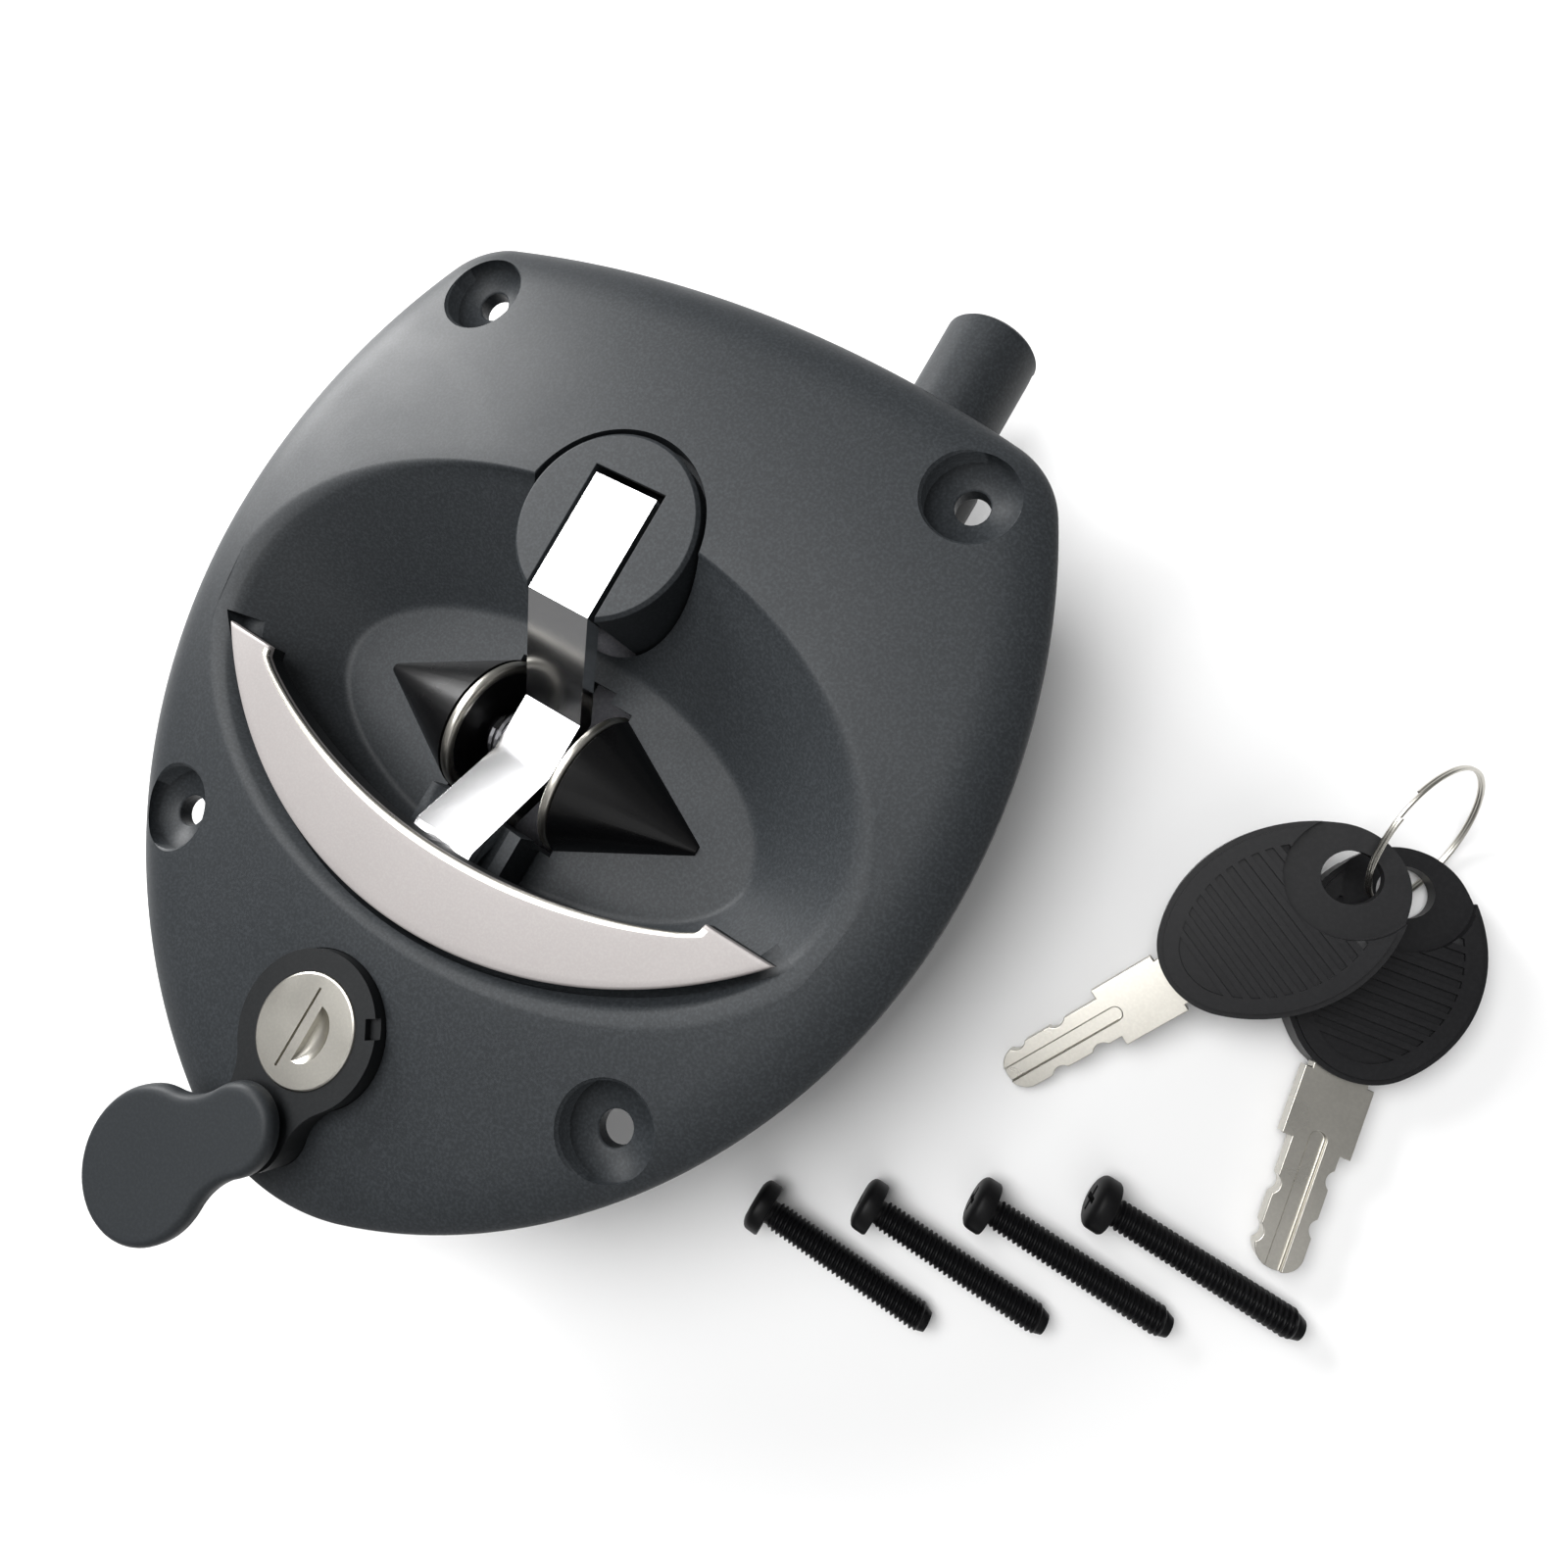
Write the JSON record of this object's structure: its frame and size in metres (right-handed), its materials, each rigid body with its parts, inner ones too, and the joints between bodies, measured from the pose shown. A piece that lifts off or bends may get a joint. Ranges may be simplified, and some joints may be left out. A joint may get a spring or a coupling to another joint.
{
  "type": "recessed trailer door lock",
  "caption": "Shield-shaped recessed pull lock for a trailer door, with a rocking crescent handle, round spring bolt, key cylinder and swivelling dust cover.",
  "frame": {"origin": "centre of the four fixing holes on the flange's back face", "axes": "+X across the plate, +Y towards the bolt, +Z out of the door towards the user"},
  "size_m": [0.1827, 0.1595, 0.0377],
  "materials": {
    "slate_casting": "satin powder coat",
    "slate_plastic": "satin moulded",
    "black_plastic": "moulded, fine texture",
    "gloss_black": "glossy",
    "polished_steel": "polished",
    "satin_silver": "satin",
    "nickel": "nickel plated",
    "zinc_steel": "zinc plated",
    "spring_steel": "spring wire",
    "brass": "plain",
    "nylon": "plain nylon",
    "black_steel": "black oxide",
    "key_plastic": "moulded, satin"
  },
  "bodies": {
    "lock_case": {"face_plate": "slate_casting", "rear_housing": "black_plastic", "housing_screws": "zinc_steel", "guide_drum": "slate_casting", "drum_screws": "zinc_steel", "bolt_spring": "spring_steel", "spring_rod": "zinc_steel", "handle_axle": "zinc_steel", "left_cone": "gloss_black", "right_cone": "gloss_black", "left_disc": "polished_steel", "right_disc": "polished_steel", "lock_body": "black_plastic", "lock_nut": "zinc_steel", "cover_rivet": "slate_plastic", "mounting_screws": "black_steel", "key_a_bow": "key_plastic", "key_a_blade": "nickel", "key_b_bow": "key_plastic", "key_b_blade": "nickel", "key_ring": "nickel"},
    "handle": {"handle_strap": "polished_steel", "crescent_grip": "satin_silver", "grip_screws": "zinc_steel", "handle_spring": "spring_steel"},
    "plunger": {"plunger": "nylon"},
    "bolt_slide": {"bolt": "slate_casting", "bolt_carrier": "zinc_steel", "bolt_pin": "zinc_steel"},
    "key_plug": {"lock_plug": "nickel", "lock_wafers": "brass", "lock_cam": "zinc_steel", "cam_screw": "zinc_steel"},
    "dust_cover": {"dust_cover": "slate_plastic"}
  },
  "joints": [
    {"name": "handle_pull", "type": "hinge", "parent": "lock_case", "child": "handle", "pos_m": [0, -0.0108, -0.0083], "axis": [-1, 0, 0], "range_deg": [0, 14], "stiffness_Nm_per_rad": 0.6, "springref_deg": -17.19},
    {"name": "plunger_slide", "type": "slide", "parent": "lock_case", "child": "plunger", "axis": [0, 0, -1], "range_m": [0, 0.0082]},
    {"name": "bolt_draw", "type": "slide", "parent": "lock_case", "child": "bolt_slide", "axis": [0, -1, 0], "range_m": [0, 0.0082], "deforming": ["bolt_spring"]},
    {"name": "key_turn", "type": "hinge", "parent": "lock_case", "child": "key_plug", "pos_m": [0, -0.0547, 0], "axis": [0, 0, 1], "range_deg": [0, 90]},
    {"name": "cover_swivel", "type": "hinge", "parent": "lock_case", "child": "dust_cover", "pos_m": [0, -0.0685, 0.009], "axis": [0, 0, 1], "range_deg": [-141, 15]}
  ],
  "couplings": [
    {"joint": "plunger_slide", "follows": "handle_pull", "m_per_rad": 0.03274},
    {"joint": "bolt_draw", "follows": "handle_pull", "m_per_rad": 0.03274}
  ]
}
